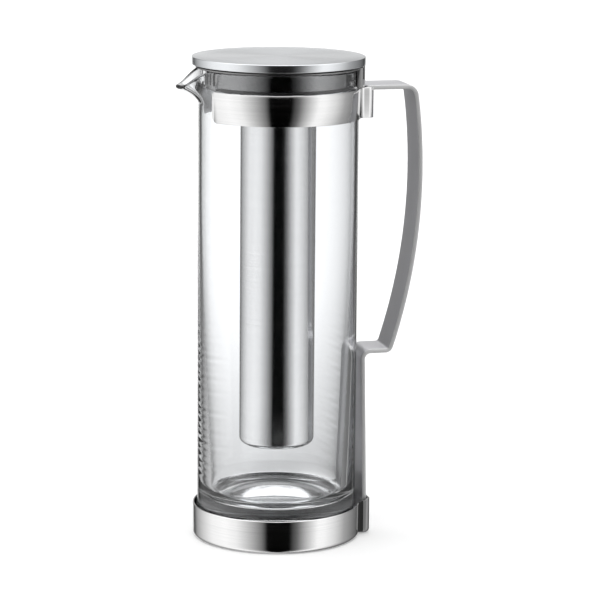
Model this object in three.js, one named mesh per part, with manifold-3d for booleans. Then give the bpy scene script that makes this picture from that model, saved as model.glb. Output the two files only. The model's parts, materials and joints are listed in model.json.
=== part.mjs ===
// Cooling carafe: a glass jug held by a steel base cup, a neck band and a flat bar handle.
// A black insert in the neck carries a closed steel tube for ice, and a flat steel lid is
// hinged to that insert over the handle.
//
// Frame: millimetres, +Z up, origin in the middle of the base cup's flat underside.
// The handle points along +X and the spout along -X, so the XZ plane is the mirror plane.
import * as THREE from "three";
import { mergeVertices } from "three/addons/utils/BufferGeometryUtils.js";
import Module from "manifold-3d";

const wasm = await Module();
wasm.setup();

// Clearances: hard pieces keep seatGap, running fits keep runGap, seals keep sealGap
const seatGap = 0.3;
const runGap = 0.4;
const sealGap = 0.1;
const overrun = 2.0;

// Glass jug, a straight cylinder whose wall grows inwards towards a heavy foot
const glassRadius = 48.0;
const glassWall = 2.3;
const glassHeight = 281.4;
const glassFloor = 20.3;
const glassHeel = 4.0;
const glassInnerCorner = 10.5;
const glassFootWidth = 25.0;
const glassPuntRise = 1.6;
const glassFloorCrown = 4.5;
const glassGrowth = 5.4;
const glassGrowthRoom = 79.4;
const glassGrowthPower = 1.6;

// Pulled spout: the rim runs out from the cylinder, narrows to a throat and drops to the tip
const spoutOut = 14.5;
const spoutThroatOut = 8.0;
const spoutThroatHalfWidth = 8.9;
const spoutHalfAngle = THREE.MathUtils.degToRad(24.5);
const spoutDrop = 10.0;
const spoutFlare = 21.5;
const spoutRootPull = 4.0;
const spoutThroatPull = 5.0;
const spoutTipPull = 5.2;
const spoutThroatTurn = THREE.MathUtils.degToRad(21);
const spoutFallPower = 1.15;

// Base cup and the soft ring that the glass stands on
const cupSheet = 1.0;
const cupHeight = 20.0;
const cupRoom = 1.8;
const cupEdge = 3.0;
const cupRimRound = 0.3;
const cupBumpRise = 2.0;
const padThickness = 1.6;
const padWidth = 11.0;

// Neck band, open at the spout
const bandSheet = 0.8;
const bandHeight = 18.2;
const bandDrop = 11.2;
const bandLowerRound = 4.7;
const bandUpperRound = 1.5;

// Bumps of the cup and the band that close over the handle's two ends: how far the flanks
// spread towards the ring, the bend of the outer corner and the bend where the flank begins
const bumpSideRoom = 2.1;
const cupFlankSpread = 0.15;
const cupBumpCorner = 3.2;
const cupBumpCrease = 0.9;
const cupTailRoom = 0.8;
const bandFlankSpread = 0.7;
const bandBumpCorner = 4.2;
const bandBumpCrease = 3.5;
const bandTailRoom = 2.9;

// Handle, one flat bar: upper tail, top run, bowed grip, foot run and lower tail
const barWidth = 25.0;
const barThickness = 2.6;
const barEdge = 0.8;
const handleDrop = 10.4;
const handleOut = 38.35;
const handleSpan = 160.0;
const footRunShare = 0.4845;
const gripApexDrop = 52.2;
const tailGap = 1.2;
const tailLean = 2.1;
const tailEndHeight = 4.0;
const upperTailLength = 16.0;
const bendTuck = 2.8;
const bendShoulder = 6.1;
const bendHeel = 3.4;
const bendKnee = 4.8;

// Neck insert
const skirtRoom = 2.3;
const skirtWall = 2.0;
const skirtDepth = 11.6;
const flangeOverhang = 1.6;
const flangeThickness = 1.3;
const deckThickness = 2.0;
const slotCount = 7;
const slotWidth = 2.2;
const slotPitch = THREE.MathUtils.degToRad(6.2);
const slotMargin = 0.9;

// Seals of the insert
const neckSealHeight = 1.6;
const neckSealBottom = 0.7;
const neckSealDepth = 1.0;
const rimSealWidth = 1.4;
const rimSealThickness = 0.7;

// Cooling tube and what holds it in the insert
const tubeRadius = 22.8;
const tubeWall = 0.8;
const tubeFloorRoom = 33.0;
const tubeCorner = 4.0;
const tubeLip = 2.9;
const sleeveWall = 2.0;
const sleeveLength = 7.2;
const collarWall = 2.1;
const collarHeight = 7.8;
const collarShoulder = 1.2;
const ringSection = 1.1;

// Lid
const capOverhang = 3.7;
const capHeight = 4.6;
const capSheet = 0.8;
const capEdge = 0.5;
const lidLift = 0.5;
const lidLip = 0.3;
const lidPanInset = 2.8;
const lidPanDepth = 1.5;
const gasketOut = 5.3;
const gasketWidth = 2.4;
const gasketHeight = 1.4;

// Hinge over the handle
const pinRadius = 0.8;
const pinEnd = 2.5;
const pinClear = 0.2;
const hingeDrop = 6.5;
const tongueHalf = 1.6;
const tongueHalfWidth = 4.9;
const blockSide = 12.5;
const blockSkin = 1.5;
const blockRound = 0.8;

// Facets
const turnSteps = 48;
const arcSteps = 4;
const cupBumpSteps = 4;
const bandEndSteps = 6;
const spoutColumns = 10;
const jugColumns = 36;
const gripSteps = 14;
const boreSides = 16;
const ringSides = 6;
const weldTolerance = 0.0003;

// Levels and places worked out from the sizes above
const padBottom = cupSheet + seatGap;
const glassBottom = padBottom + padThickness + seatGap;
const glassTop = glassBottom + glassHeight;
const glassFloorTop = glassBottom + glassFloor;
const glassBore = glassRadius - glassWall;
const spoutReach = glassRadius + spoutOut;
const cupRadius = glassRadius + cupRoom + cupSheet;
const bandRadius = glassRadius + runGap + bandSheet;
const bandTop = glassTop - bandDrop;
const bandBottom = bandTop - bandHeight;
const barHalfWidth = barWidth / 2;
const tailX = glassRadius + tailGap + barThickness / 2;
const handleReach = glassRadius + handleOut;
const handleTop = glassTop - handleDrop;
const flangeRadius = glassRadius + flangeOverhang;
const flangeBottom = glassTop + seatGap;
const flangeTop = flangeBottom + flangeThickness;
const skirtRadius = glassBore - skirtRoom;
const skirtBottom = glassTop - skirtDepth;
const skirtBore = skirtRadius - skirtWall;
const deckBottom = flangeTop - deckThickness;
const lidBottom = flangeTop + lidLift;
const capRadius = glassRadius + capOverhang;
const capBottom = lidBottom + lidLip;
const capTop = capBottom + capHeight;
const capBore = capRadius - capSheet;
const hingeX = glassRadius + runGap + tongueHalf;
const hingeZ = lidBottom - hingeDrop;
const sleeveBore = tubeRadius + runGap;
const sleeveRadius = sleeveBore + sleeveWall;
const sleeveBottom = deckBottom - sleeveLength;
const lipSeat = tubeWall + seatGap;
const lipRadius = tubeRadius + tubeLip;
const gasketRadius = lipRadius + gasketOut;
const pinHalfLength = tongueHalfWidth + pinEnd;
const blockHalfWidth = barHalfWidth + blockSide;

const finishes = {
  steel: { color: 0xc9c9cb, roughness: 0.28, metalness: 1.0 },
  glass: { color: 0xe8f1f4, roughness: 0.03, metalness: 0.0, transparent: true, opacity: 0.3 },
  black: { color: 0x121212, roughness: 0.25, metalness: 0.0 },
  silicone: { color: 0x2b2b2d, roughness: 0.7, metalness: 0.0 },
  clearPad: { color: 0xd9dcdd, roughness: 0.6, metalness: 0.0 },
};

const carafe = new THREE.Group();

function addPiece(name, geometry, finish) {
  const mesh = new THREE.Mesh(geometry, new THREE.MeshStandardMaterial(finishes[finish]));
  mesh.name = name;
  carafe.add(mesh);
}

// Booleans: a closed geometry becomes a solid, and a solid becomes a geometry again
function solidOf(geometry) {
  const bare = geometry.clone();
  bare.deleteAttribute("normal");
  bare.deleteAttribute("uv");
  const merged = mergeVertices(bare, weldTolerance);
  return new wasm.Manifold(
    new wasm.Mesh({
      numProp: 3,
      vertProperties: merged.attributes.position.array,
      triVerts: new Uint32Array(merged.index.array),
    }),
  );
}

function geometryOf(solid) {
  const mesh = solid.getMesh();
  const geometry = new THREE.BufferGeometry();
  geometry.setAttribute("position", new THREE.BufferAttribute(mesh.vertProperties, 3));
  geometry.setIndex(new THREE.BufferAttribute(mesh.triVerts, 1));
  geometry.computeVertexNormals();
  return geometry;
}

// Revolves a closed or axis-to-axis profile of [radius, height] pairs about Z
function revolve(profile) {
  const points = profile.map(([radius, height]) => new THREE.Vector2(radius, height));
  return new THREE.LatheGeometry(points, turnSteps).rotateX(Math.PI / 2);
}

// A revolved ring: the profile is closed by repeating its first point
function revolveRing(profile) {
  return revolve([...profile, profile[0]]);
}

// Quarter arc in a profile, from one angle to another about a centre
function arc(centreR, centreZ, radius, from, to, steps = arcSteps) {
  return Array.from({ length: steps + 1 }, (_, i) => {
    const angle = THREE.MathUtils.degToRad(from + ((to - from) * i) / steps);
    return [centreR + radius * Math.cos(angle), centreZ + radius * Math.sin(angle)];
  });
}

// Skins a row of loops that all have the same number of points, and closes both ends
function loft(loops) {
  const count = loops[0].length;
  const positions = loops.flat().flatMap((p) => [p.x, p.y, p.z]);
  const faces = [];
  for (let row = 0; row + 1 < loops.length; row++) {
    for (let i = 0; i < count; i++) {
      const a = row * count + i;
      const b = row * count + ((i + 1) % count);
      faces.push(a, b, b + count, a, b + count, a + count);
    }
  }
  const addEnd = (row, flip) => {
    const centre = loops[row].reduce((sum, p) => sum.add(p), new THREE.Vector3());
    centre.divideScalar(count);
    const apex = positions.length / 3;
    positions.push(centre.x, centre.y, centre.z);
    for (let i = 0; i < count; i++) {
      const a = row * count + i;
      const b = row * count + ((i + 1) % count);
      faces.push(apex, flip ? b : a, flip ? a : b);
    }
  };
  addEnd(0, true);
  addEnd(loops.length - 1, false);
  const geometry = new THREE.BufferGeometry();
  geometry.setAttribute("position", new THREE.Float32BufferAttribute(positions, 3));
  geometry.setIndex(faces);
  geometry.computeVertexNormals();
  return geometry;
}

// Rounds the corners of a path: each corner is a point with its own bend radius
function roundCorners(corners, closed) {
  const path = [];
  corners.forEach(({ x, y, bend }, i) => {
    const here = new THREE.Vector2(x, y);
    const atEnd = !closed && (i === 0 || i === corners.length - 1);
    if (!bend || atEnd) {
      path.push(here);
      return;
    }
    const before = corners[(i + corners.length - 1) % corners.length];
    const after = corners[(i + 1) % corners.length];
    const back = new THREE.Vector2(before.x, before.y).sub(here).normalize();
    const ahead = new THREE.Vector2(after.x, after.y).sub(here).normalize();
    const half = Math.acos(THREE.MathUtils.clamp(back.dot(ahead), -1, 1)) / 2;
    const toCentre = back.clone().add(ahead).normalize();
    const centre = here.clone().addScaledVector(toCentre, bend / Math.sin(half));
    const start = here.clone().addScaledVector(back, bend / Math.tan(half)).sub(centre);
    const end = here.clone().addScaledVector(ahead, bend / Math.tan(half)).sub(centre);
    const turn = Math.atan2(start.cross(end), start.dot(end));
    for (let k = 0; k <= arcSteps; k++) {
      const spoke = start.clone().rotateAround(new THREE.Vector2(), (turn * k) / arcSteps);
      path.push(centre.clone().add(spoke));
    }
  });
  return path;
}

// Moves every point of a counterclockwise path inwards, square to the path
function insetPath(path, distance, closed) {
  const last = path.length - 1;
  return path.map((p, i) => {
    const before = path[i > 0 ? i - 1 : closed ? last : 0];
    const after = path[i < last ? i + 1 : closed ? 0 : last];
    const into = p.clone().sub(before).normalize();
    const out = after.clone().sub(p).normalize();
    if (into.lengthSq() === 0) into.copy(out);
    if (out.lengthSq() === 0) out.copy(into);
    const along = into.clone().add(out).normalize();
    const normal = new THREE.Vector2(-along.y, along.x);
    return p.clone().addScaledVector(normal, distance / along.dot(into));
  });
}

// Plan of a ring with a bump at +X. The side angles run from the spout side to the bump.
function bumpedRing(radius, bump, sideAngles) {
  const halfWidth = barHalfWidth + bumpSideRoom;
  const rootHalfWidth = halfWidth + bump.spread;
  const rootX = Math.sqrt(radius ** 2 - rootHalfWidth ** 2);
  const half = [
    ...sideAngles.map((a) => ({ x: radius * Math.cos(a), y: radius * Math.sin(a), bend: 0 })),
    { x: rootX, y: rootHalfWidth, bend: bump.crease },
    { x: bump.reach, y: halfWidth, bend: bump.corner },
  ];
  const mirrored = half.map(({ x, y, bend }) => ({ x, y: -y, bend }));
  return [...mirrored, ...half.reverse()];
}

// Where the even side columns of such a ring stop, just short of the bump's crease
function bumpClearAngle(radius, bump) {
  const rootHalfWidth = barHalfWidth + bumpSideRoom + bump.spread;
  return Math.asin(rootHalfWidth / radius) + bump.crease / radius;
}

function evenAngles(from, to, steps) {
  return Array.from({ length: steps + 1 }, (_, i) => from + ((to - from) * i) / steps);
}

// Base cup: one drawn sheet with a rounded bottom edge and a bump for the handle's tail
const tailFootX = tailX + tailLean;
const cupBumpReach = tailFootX + barThickness / 2 + cupTailRoom + cupSheet;

function baseCup() {
  const bump = {
    reach: cupBumpReach,
    spread: cupFlankSpread,
    corner: cupBumpCorner,
    crease: cupBumpCrease,
  };
  const clearAngle = bumpClearAngle(cupRadius, bump);
  const angles = evenAngles(Math.PI, clearAngle, turnSteps / 2 - cupBumpSteps);
  const corners = bumpedRing(cupRadius, bump, angles);
  const plan = roundCorners(corners.slice(1), true);
  const rootX = cupRadius;
  const lift = (p) => {
    const share = THREE.MathUtils.smoothstep(p.x, rootX, cupBumpReach - cupBumpCorner / 2);
    return cupBumpRise * share;
  };
  const loop = (inset, height, lifted) =>
    insetPath(plan, inset, true).map((q, i) => {
      const rise = lifted ? lift(plan[i]) : 0;
      return new THREE.Vector3(q.x, q.y, height + rise);
    });
  const outerEdge = arc(0, cupEdge, cupEdge, 270, 360);
  const innerEdge = arc(0, cupEdge, cupEdge - cupSheet, 360, 270);
  const outside = outerEdge.map(([r, z]) => loop(cupEdge - r, z, false));
  const inside = innerEdge.map(([r, z]) => loop(cupEdge - r, z, false));
  return loft([
    ...outside,
    loop(0, cupHeight - cupRimRound, true),
    loop(cupRimRound, cupHeight, true),
    loop(cupSheet - cupRimRound, cupHeight, true),
    loop(cupSheet, cupHeight - cupRimRound, true),
    ...inside,
  ]);
}

function basePad() {
  const outer = glassRadius - glassHeel;
  const inner = outer - padWidth;
  const top = padBottom + padThickness;
  return revolveRing([
    [inner, padBottom],
    [outer, padBottom],
    [outer, top],
    [inner, top],
  ]);
}

// Glass jug. Its columns go round the wall; in the spout each column leans out from its foot on
// the cylinder to its own place on the pulled rim, so the lip, the throat and the crease beside
// the spout come from one surface. The inner skin lies one wall inside the outer one.
function spoutRim() {
  const reach = spoutReach - glassWall / 2;
  const rootX = glassRadius * Math.cos(spoutHalfAngle);
  const rootY = glassRadius * Math.sin(spoutHalfAngle);
  const root = new THREE.Vector2(rootX, rootY);
  const rootAim = new THREE.Vector2(
    rootX + spoutRootPull * Math.sin(spoutHalfAngle),
    rootY - spoutRootPull * Math.cos(spoutHalfAngle),
  );
  const throat = new THREE.Vector2(glassRadius + spoutThroatOut, spoutThroatHalfWidth);
  const throatRun = new THREE.Vector2(Math.cos(spoutThroatTurn), -Math.sin(spoutThroatTurn));
  const before = throat.clone().addScaledVector(throatRun, -spoutThroatPull);
  const after = throat.clone().addScaledVector(throatRun, spoutThroatPull / 2);
  const tip = new THREE.Vector2(reach, 0);
  const tipAim = new THREE.Vector2(reach, spoutTipPull);
  const rim = new THREE.CurvePath();
  rim.add(new THREE.CubicBezierCurve(root, rootAim, before, throat));
  rim.add(new THREE.CubicBezierCurve(throat, after, tipAim, tip));
  return rim.getSpacedPoints(spoutColumns);
}

function jugColumnList() {
  const rim = spoutRim();
  const rootX = rim[0].x;
  const columns = [];
  for (let i = -spoutColumns; i <= spoutColumns; i++) {
    const angle = (spoutHalfAngle * i) / spoutColumns;
    const place = rim[spoutColumns - Math.abs(i)];
    const outShare = (place.x - rootX) / (spoutReach - glassWall / 2 - rootX);
    const fallShare = THREE.MathUtils.smoothstep(outShare ** spoutFallPower, 0, 1);
    columns.push({
      foot: new THREE.Vector2(-glassRadius * Math.cos(angle), -glassRadius * Math.sin(angle)),
      rim: new THREE.Vector2(-place.x, -Math.sign(i) * place.y),
      fall: spoutDrop * fallShare,
    });
  }
  const plain = evenAngles(Math.PI + spoutHalfAngle, 3 * Math.PI - spoutHalfAngle, jugColumns);
  plain.slice(1, -1).forEach((angle) => {
    const foot = new THREE.Vector2(glassRadius * Math.cos(angle), glassRadius * Math.sin(angle));
    columns.push({ foot, rim: foot, fall: 0 });
  });
  return columns;
}

function glassJug() {
  const columns = jugColumnList();
  const flareStart = glassTop - spoutFlare;
  const rimRow = glassTop - glassWall / 2;
  const climbShares = [0, 0.22, 0.4, 0.56, 0.7, 0.82, 0.92, 1];
  const ring = ([radius, height]) =>
    columns.map(({ foot }) => {
      const out = foot.clone().setLength(radius);
      return new THREE.Vector3(out.x, out.y, height);
    });
  const outer = climbShares.map((share) =>
    columns.map(({ foot, rim, fall }) => {
      const plan = foot.clone().lerp(rim, share ** 2);
      const top = rimRow - fall;
      return new THREE.Vector3(plan.x, plan.y, THREE.MathUtils.lerp(flareStart, top, share));
    }),
  );
  const rows = outer.length;
  const along = (row, i) => {
    const up = outer[Math.min(row + 1, rows - 1)][i];
    return up.clone().sub(outer[Math.max(row - 1, 0)][i]).normalize();
  };
  const across = (row, i) => {
    const next = outer[row][(i + 1) % columns.length];
    return next.clone().sub(outer[row][(i + columns.length - 1) % columns.length]).normalize();
  };
  const normal = (row, i) => across(row, i).cross(along(row, i)).normalize();
  const inner = outer.map((loop, row) =>
    loop.map((p, i) => p.clone().addScaledVector(normal(row, i), -glassWall)),
  );
  const lipDegrees = [45, 90, 135];
  const lip = lipDegrees.map((degrees) => {
    const angle = THREE.MathUtils.degToRad(degrees);
    return outer[rows - 1].map((p, i) => {
      const out = normal(rows - 1, i);
      const middle = p.clone().addScaledVector(out, -glassWall / 2);
      middle.addScaledVector(out, (glassWall / 2) * Math.cos(angle));
      return middle.addScaledVector(along(rows - 1, i), (glassWall / 2) * Math.sin(angle));
    });
  });
  const heelR = glassRadius - glassHeel;
  const footInner = heelR - glassFootWidth;
  const puntShares = [0.3, 0.6, 0.85, 1];
  const punt = puntShares.map((share) => {
    return [footInner * share, glassBottom + glassPuntRise * (1 - share ** 2)];
  });
  const heel = arc(heelR, glassBottom + glassHeel, glassHeel, 270, 360);
  const cornerR = glassBore - glassGrowth - glassInnerCorner;
  const cornerZ = glassFloorTop + glassInnerCorner;
  const growthTop = glassTop - glassGrowthRoom;
  const growthShares = [0, 0.33, 0.68];
  const growth = growthShares.map((share) => {
    const inset = glassGrowth * share ** glassGrowthPower;
    return [glassBore - inset, THREE.MathUtils.lerp(growthTop, cornerZ, share)];
  });
  const corner = arc(cornerR, cornerZ, glassInnerCorner, 360, 270, arcSteps + 1);
  const crownShares = [0.75, 0.5, 0.25];
  const crown = crownShares.map((share) => {
    return [cornerR * share, glassFloorTop + glassFloorCrown * (1 - share ** 2)];
  });
  return loft([
    ...[...punt, ...heel].map(ring),
    ...outer,
    ...lip,
    ...inner.reverse(),
    ...[...growth, ...corner, ...crown].map(ring),
  ]);
}

// Neck band: a strap bent round the glass, with rounded ends beside the spout
function neckBand() {
  const bumpReach = tailX + barThickness / 2 + bandTailRoom + bandSheet;
  const bump = {
    reach: bumpReach,
    spread: bandFlankSpread,
    corner: bandBumpCorner,
    crease: bandBumpCrease,
  };
  const endAngle = Math.PI - spoutHalfAngle;
  const roundRuns = arc(0, 0, 1, 180, 90, arcSteps + 1).map(([x]) => bandLowerRound * (1 + x));
  const endAngles = roundRuns.map((run) => endAngle - run / bandRadius);
  const plainSteps = turnSteps / 2 - bandEndSteps;
  const plainAngles = evenAngles(endAngles.at(-1), bumpClearAngle(bandRadius, bump), plainSteps);
  const angles = [...endAngles, ...plainAngles.slice(1)];
  const corners = bumpedRing(bandRadius, bump, angles);
  const outer = roundCorners(corners, false);
  const inner = insetPath(outer, bandSheet, false);
  const roundOff = (run, radius) => {
    const left = Math.max(radius - run, 0);
    return radius - Math.sqrt(radius ** 2 - left ** 2);
  };
  const sections = outer.map((p, i) => {
    const fromEnd = Math.min(i, outer.length - 1 - i);
    const run = fromEnd < roundRuns.length ? roundRuns[fromEnd] : bandLowerRound;
    const top = bandTop - roundOff(run, bandUpperRound);
    const bottom = bandBottom + roundOff(run, bandLowerRound);
    const q = inner[i];
    return [
      new THREE.Vector3(p.x, p.y, top),
      new THREE.Vector3(p.x, p.y, bottom),
      new THREE.Vector3(q.x, q.y, bottom),
      new THREE.Vector3(q.x, q.y, top),
    ];
  });
  const notchFloor = handleTop - barThickness - seatGap;
  const notch = new THREE.BoxGeometry(
    bumpReach - tailX + overrun,
    barWidth + 2 * seatGap,
    bandTop - notchFloor + overrun,
  );
  notch.translate(
    (bumpReach + tailX + overrun) / 2,
    0,
    (bandTop + notchFloor + overrun) / 2,
  );
  return geometryOf(solidOf(loft(sections)).subtract(solidOf(notch)));
}

// Handle: the bar's middle line is laid out in the mirror plane, thickened and extruded
function handleBar() {
  const gripX = handleReach - barThickness / 2;
  const apexZ = handleTop - gripApexDrop;
  const topZ = handleTop - barThickness / 2;
  const footZ = topZ - handleSpan;
  const bow = (gripX - tailX) * (1 - footRunShare);
  const gripRadius = ((apexZ - footZ) ** 2 + bow ** 2) / (2 * bow);
  const gripAt = (z) => gripX - gripRadius + Math.sqrt(gripRadius ** 2 - (z - apexZ) ** 2);
  const gripTop = topZ - 2 * bendShoulder;
  const gripLow = footZ + 2 * bendHeel;
  const grip = evenAngles(gripTop, gripLow, gripSteps).map((z) => ({ x: gripAt(z), y: z, bend: 0 }));
  const line = roundCorners(
    [
      { x: tailX, y: topZ - upperTailLength, bend: 0 },
      { x: tailX, y: topZ, bend: bendTuck },
      { x: gripAt(topZ), y: topZ, bend: bendShoulder },
      ...grip,
      { x: gripAt(footZ), y: footZ, bend: bendHeel },
      { x: tailX, y: footZ, bend: bendKnee },
      { x: tailFootX, y: cupSheet + tailEndHeight, bend: 0 },
    ],
    false,
  );
  const outerSide = insetPath(line, -barThickness / 2, false);
  const innerSide = insetPath(line, barThickness / 2, false);
  const shape = new THREE.Shape([...innerSide, ...outerSide.reverse()]);
  const bar = new THREE.ExtrudeGeometry(shape, {
    depth: barWidth - 2 * barEdge,
    bevelThickness: barEdge,
    bevelSize: barEdge,
    bevelOffset: -barEdge,
    bevelSegments: 1,
    steps: 1,
  });
  return bar.translate(0, 0, barEdge - barHalfWidth).rotateX(Math.PI / 2);
}

// A box between two corners
function block(low, high) {
  const size = high.map((v, i) => v - low[i]);
  const middle = high.map((v, i) => (v + low[i]) / 2);
  return solidOf(new THREE.BoxGeometry(...size).translate(...middle));
}

function hingeBore(halfLength) {
  const bore = new THREE.CylinderGeometry(
    pinRadius + pinClear,
    pinRadius + pinClear,
    2 * halfLength,
    boreSides,
  );
  return solidOf(bore.translate(hingeX, 0, hingeZ));
}

// Neck insert: flange and deck over a slotted skirt, a sleeve for the tube and the hinge block
function insertBody() {
  const sealZ = skirtBottom + neckSealBottom;
  const grooveR = skirtRadius - neckSealDepth - sealGap;
  const rimMiddle = glassRadius - glassWall / 2;
  const rimGroove = rimSealWidth / 2 + sealGap;
  const rimGrooveTop = glassTop + 2 * sealGap + rimSealThickness;
  const turned = solidOf(
    revolveRing([
      [sleeveBore, sleeveBottom],
      [sleeveRadius, sleeveBottom],
      [sleeveRadius, deckBottom],
      [skirtBore, deckBottom],
      [skirtBore, skirtBottom],
      [skirtRadius, skirtBottom],
      [skirtRadius, sealZ - sealGap],
      [grooveR, sealZ - sealGap],
      [grooveR, sealZ + neckSealHeight + sealGap],
      [skirtRadius, sealZ + neckSealHeight + sealGap],
      [skirtRadius, flangeBottom],
      [rimMiddle - rimGroove, flangeBottom],
      [rimMiddle - rimGroove, rimGrooveTop],
      [rimMiddle + rimGroove, rimGrooveTop],
      [rimMiddle + rimGroove, flangeBottom],
      [flangeRadius, flangeBottom],
      [flangeRadius, flangeTop],
      [lipRadius + seatGap, flangeTop],
      [lipRadius + seatGap, flangeTop - lipSeat],
      [sleeveBore, flangeTop - lipSeat],
    ]),
  );
  let body = turned.add(hingeBlock());
  const slotTop = deckBottom - slotMargin;
  const slotBottom = sealZ + neckSealHeight + sealGap + slotMargin;
  for (let i = 0; i < slotCount; i++) {
    const slot = new THREE.BoxGeometry(skirtWall + 2 * overrun, slotWidth, slotTop - slotBottom);
    slot.translate(-(skirtRadius + skirtBore) / 2, 0, (slotTop + slotBottom) / 2);
    slot.rotateZ(slotPitch * (i - (slotCount - 1) / 2));
    body = body.subtract(solidOf(slot));
  }
  const slotHalf = tongueHalfWidth + runGap;
  const tongueSlot = block(
    [glassRadius, -slotHalf, hingeZ - tongueHalf - runGap],
    [capRadius + overrun, slotHalf, flangeTop + overrun],
  );
  return geometryOf(body.subtract(tongueSlot).subtract(hingeBore(pinHalfLength + seatGap)));
}

// Hinge block: a piece of a ring outside the glass, under the flange and over the handle
function hingeBlock() {
  const inner = glassRadius + runGap;
  const outer = hingeX + blockSkin;
  const bottom = handleTop + seatGap;
  const innerAngle = Math.asin(blockHalfWidth / inner);
  const outerAngle = Math.asin(blockHalfWidth / outer);
  const plan = new THREE.Shape();
  plan.absarc(0, 0, inner, innerAngle, -innerAngle, true);
  plan.lineTo(outer * Math.cos(outerAngle) - blockRound, -blockHalfWidth);
  plan.absarc(0, 0, outer, -outerAngle + blockRound / outer, outerAngle - blockRound / outer, false);
  plan.lineTo(outer * Math.cos(outerAngle) - blockRound, blockHalfWidth);
  const blank = new THREE.ExtrudeGeometry(plan, {
    depth: flangeTop - bottom,
    bevelEnabled: false,
    curveSegments: arcSteps * 2,
  });
  return solidOf(blank.translate(0, 0, bottom));
}

// Silicone seal round the skirt's foot, open where the drink runs to the spout
function neckSeal() {
  const inner = skirtRadius - neckSealDepth;
  const outer = glassBore - seatGap;
  const plan = new THREE.Shape();
  const end = Math.PI - spoutHalfAngle;
  plan.absarc(0, 0, outer, -end, end, false);
  plan.absarc(0, 0, inner, end, -end, true);
  const seal = new THREE.ExtrudeGeometry(plan, {
    depth: neckSealHeight,
    bevelEnabled: false,
    curveSegments: turnSteps / 2,
  });
  return seal.translate(0, 0, skirtBottom + neckSealBottom);
}

function rimSeal() {
  const middle = glassRadius - glassWall / 2;
  const low = glassTop + sealGap;
  const high = low + rimSealThickness;
  return revolveRing([
    [middle - rimSealWidth / 2, low],
    [middle + rimSealWidth / 2, low],
    [middle + rimSealWidth / 2, high],
    [middle - rimSealWidth / 2, high],
  ]);
}

// Cooling tube: deep-drawn, closed at the bottom, with a turned-out lip that hangs in the deck
function coolingTube() {
  const top = flangeTop - sealGap;
  const bottom = glassFloorTop + tubeFloorRoom;
  const bore = tubeRadius - tubeWall;
  const cornerR = tubeRadius - tubeCorner;
  return revolve([
    [0, bottom],
    ...arc(cornerR, bottom + tubeCorner, tubeCorner, 270, 360),
    [tubeRadius, top - tubeWall],
    [lipRadius, top - tubeWall],
    [lipRadius, top],
    [bore + tubeWall / 2, top],
    [bore, top - tubeWall],
    ...arc(cornerR, bottom + tubeCorner, tubeCorner - tubeWall, 360, 270),
    [0, bottom + tubeWall],
  ]);
}

// Collar nut that grips the tube under the sleeve, over a soft sealing ring
function collarLevels() {
  const ringZ = sleeveBottom - ringSection - sealGap;
  const shoulderTop = ringZ - ringSection - sealGap;
  return { ringZ, shoulderTop, bottom: shoulderTop - collarShoulder };
}

function tubeCollar() {
  const { shoulderTop, bottom } = collarLevels();
  const bore = sleeveRadius + seatGap;
  const outer = bore + collarWall;
  return revolveRing([
    [sleeveBore, bottom],
    [outer, bottom],
    [outer, bottom + collarHeight],
    [bore, bottom + collarHeight],
    [bore, shoulderTop],
    [sleeveBore, shoulderTop],
  ]);
}

function tubeSealRing() {
  const section = ringSection - sealGap;
  const ring = new THREE.TorusGeometry(sleeveBore + ringSection, section, ringSides, turnSteps);
  return ring.translate(0, 0, collarLevels().ringZ);
}

// Lid base: the black disc inside the steel cap, with the hinge tongue
function lidBase() {
  const radius = capBore - seatGap;
  const panRadius = tubeRadius - lidPanInset;
  const top = capTop - capSheet - seatGap;
  const grooveIn = gasketRadius - gasketWidth / 2 - sealGap;
  const grooveOut = gasketRadius + gasketWidth / 2 + sealGap;
  const grooveTop = lidBottom - lidLift / 2 + gasketHeight + sealGap;
  const disc = solidOf(
    revolve([
      [0, lidBottom + lidPanDepth],
      [panRadius, lidBottom + lidPanDepth],
      [panRadius + lidPanDepth, lidBottom],
      [grooveIn, lidBottom],
      [grooveIn, grooveTop],
      [grooveOut, grooveTop],
      [grooveOut, lidBottom],
      [radius - lidLip, lidBottom],
      [radius, lidBottom + lidLip],
      [radius, top],
      [0, top],
    ]),
  );
  const side = new THREE.Shape();
  side.moveTo(hingeX + tongueHalf, lidBottom + lidPanDepth);
  side.lineTo(hingeX - tongueHalf, lidBottom + lidPanDepth);
  side.absarc(hingeX, hingeZ, tongueHalf, Math.PI, 2 * Math.PI, false);
  const tongue = new THREE.ExtrudeGeometry(side, {
    depth: 2 * tongueHalfWidth,
    bevelEnabled: false,
    curveSegments: arcSteps * 2,
  });
  tongue.translate(0, 0, -tongueHalfWidth).rotateX(Math.PI / 2);
  const room = solidOf(
    revolve([
      [0, hingeZ - tongueHalf - overrun],
      [capRadius + overrun, hingeZ - tongueHalf - overrun],
      [capRadius + overrun, lidBottom],
      [radius, lidBottom],
      [radius, top],
      [0, top],
    ]),
  );
  const body = disc.add(solidOf(tongue).intersect(room));
  return geometryOf(body.subtract(hingeBore(tongueHalfWidth + overrun)));
}

function lidCap() {
  return revolve([
    [0, capTop - capSheet],
    [capBore, capTop - capSheet],
    [capBore, capBottom],
    [capRadius, capBottom],
    [capRadius, capTop - capEdge],
    [capRadius - capEdge, capTop],
    [0, capTop],
  ]);
}

function lidGasket() {
  const low = lidBottom - lidLift / 2;
  const inner = gasketRadius - gasketWidth / 2;
  const outer = gasketRadius + gasketWidth / 2;
  return revolveRing([
    [inner, low],
    [outer, low],
    [outer, low + gasketHeight],
    [inner, low + gasketHeight],
  ]);
}

function hingePin() {
  const pin = new THREE.CylinderGeometry(pinRadius, pinRadius, 2 * pinHalfLength, boreSides);
  return pin.translate(hingeX, 0, hingeZ);
}

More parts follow.
